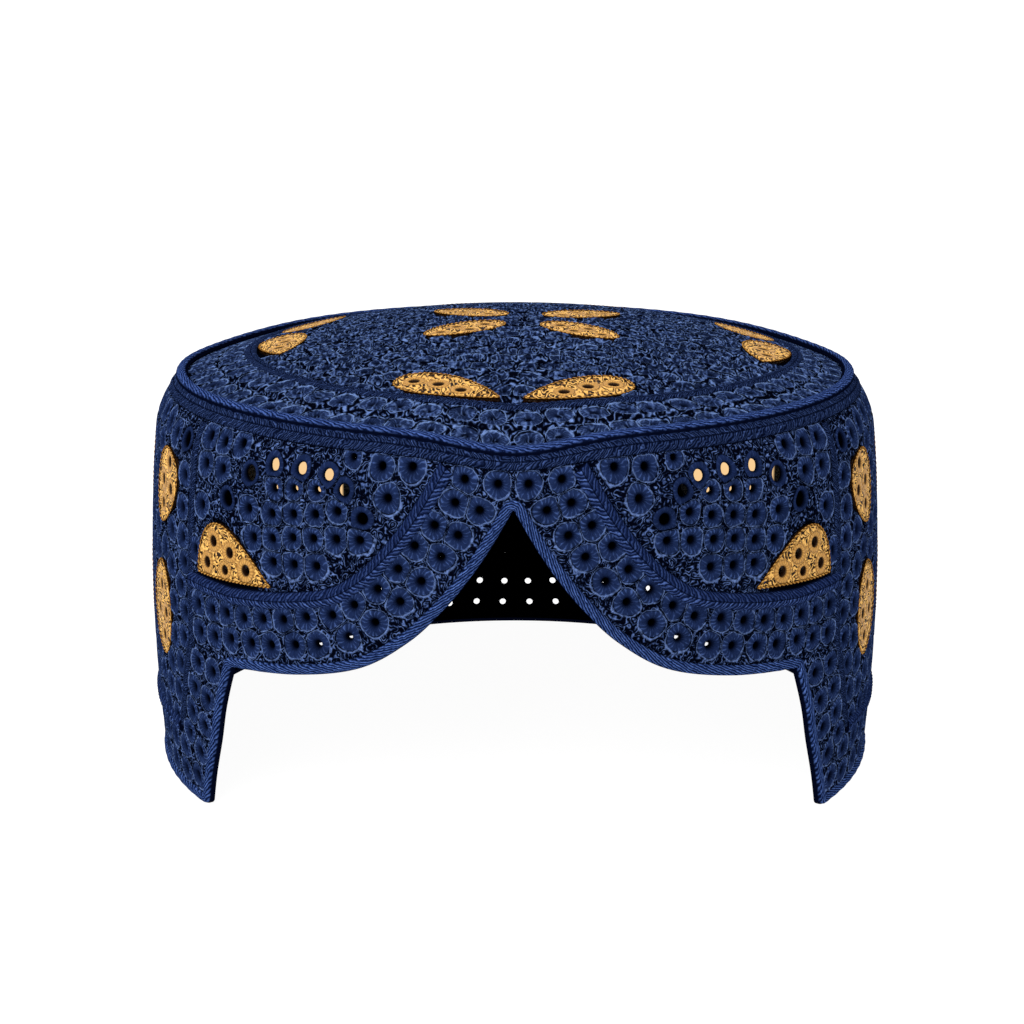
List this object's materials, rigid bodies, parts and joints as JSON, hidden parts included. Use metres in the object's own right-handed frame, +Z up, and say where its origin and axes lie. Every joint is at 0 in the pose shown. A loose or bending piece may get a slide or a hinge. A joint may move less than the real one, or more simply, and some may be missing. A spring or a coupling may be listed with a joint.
{
  "type": "sindhi topi cap",
  "caption": "Round, low cloth cap with a flat domed crown and a front cut away in two scallops that meet in a point; embroidered eyelets, plaited braids and gold leaves.",
  "frame": {"origin": "middle of the round band, on the surface that the cap stands on", "axes": "+Z up through the crown, the cut-away front faces -Y, +X to the right of someone who looks at the front"},
  "size_m": [0.1878, 0.186, 0.11],
  "materials": {
    "blue_cloth": "satin",
    "blue_braid": "satin",
    "gold_thread": "satin"
  },
  "bodies": {
    "root": {"band": "blue_cloth", "crown_top": "blue_cloth", "edge_braid": "blue_braid", "arch_braid_right": "blue_braid", "arch_braid_left": "blue_braid", "seam_braid_right": "blue_braid", "seam_braid_left": "blue_braid", "low_braid": "blue_braid", "top_braid": "blue_braid", "rim_cord": "blue_braid", "crown_ring_braid": "blue_braid", "panel_leaf_right": "gold_thread", "panel_leaf_left": "gold_thread", "side_leaf_upper_right_front": "gold_thread", "side_leaf_upper_right_back": "gold_thread", "side_leaf_upper_left_front": "gold_thread", "side_leaf_upper_left_back": "gold_thread", "side_leaf_lower_right_front": "gold_thread", "side_leaf_lower_right_back": "gold_thread", "side_leaf_lower_left_front": "gold_thread", "side_leaf_lower_left_back": "gold_thread", "back_leaf_right": "gold_thread", "back_leaf_left": "gold_thread", "rim_leaf_front_right": "gold_thread", "rim_leaf_front_left": "gold_thread", "rim_leaf_right_right": "gold_thread", "rim_leaf_right_left": "gold_thread", "rim_leaf_back_right": "gold_thread", "rim_leaf_back_left": "gold_thread", "rim_leaf_left_right": "gold_thread", "rim_leaf_left_left": "gold_thread", "centre_leaf_front_right": "gold_thread", "centre_leaf_front_left": "gold_thread", "centre_leaf_back_right": "gold_thread", "centre_leaf_back_left": "gold_thread"}
  },
  "joints": []
}
